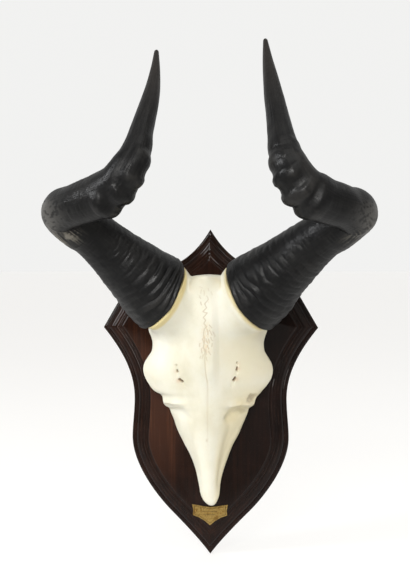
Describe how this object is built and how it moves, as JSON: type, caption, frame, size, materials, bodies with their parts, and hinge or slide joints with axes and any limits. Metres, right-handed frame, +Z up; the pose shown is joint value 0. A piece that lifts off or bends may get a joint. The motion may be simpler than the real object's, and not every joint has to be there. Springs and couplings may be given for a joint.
{
  "type": "mounted hartebeest skull",
  "caption": "Sawn hartebeest skull with ridged, sharply bent black horns, screwed to a moulded dark wooden wall shield with a small brass name plate.",
  "frame": {"origin": "middle of the shield's flat back, on the plane that rests against the wall", "axes": "+Z up along the shield from its foot to the horn tips, +Y into the wall, -Y the way the skull faces, +X to the right of someone facing it"},
  "size_m": [0.3557, 0.2141, 0.5898],
  "materials": {
    "shield_wood": "dark red-brown stain under a glossy polish",
    "bone": "bleached ivory bone, dull with a faint sheen",
    "horn": "near-black horn, satin, wrinkled near the seat",
    "plate_brass": "tarnished satin brass",
    "pin_brass": "satin brass",
    "steel": "dull plated steel"
  },
  "bodies": {
    "root": {"shield": "shield_wood", "skull": "bone", "horn_left": "horn", "horn_right": "horn", "name_plate": "plate_brass", "plate_pin_left": "pin_brass", "plate_pin_right": "pin_brass", "hanger_plate": "steel", "hanger_screw_upper": "steel", "hanger_screw_lower": "steel", "skull_screw_upper": "steel", "skull_screw_lower": "steel"}
  },
  "joints": []
}
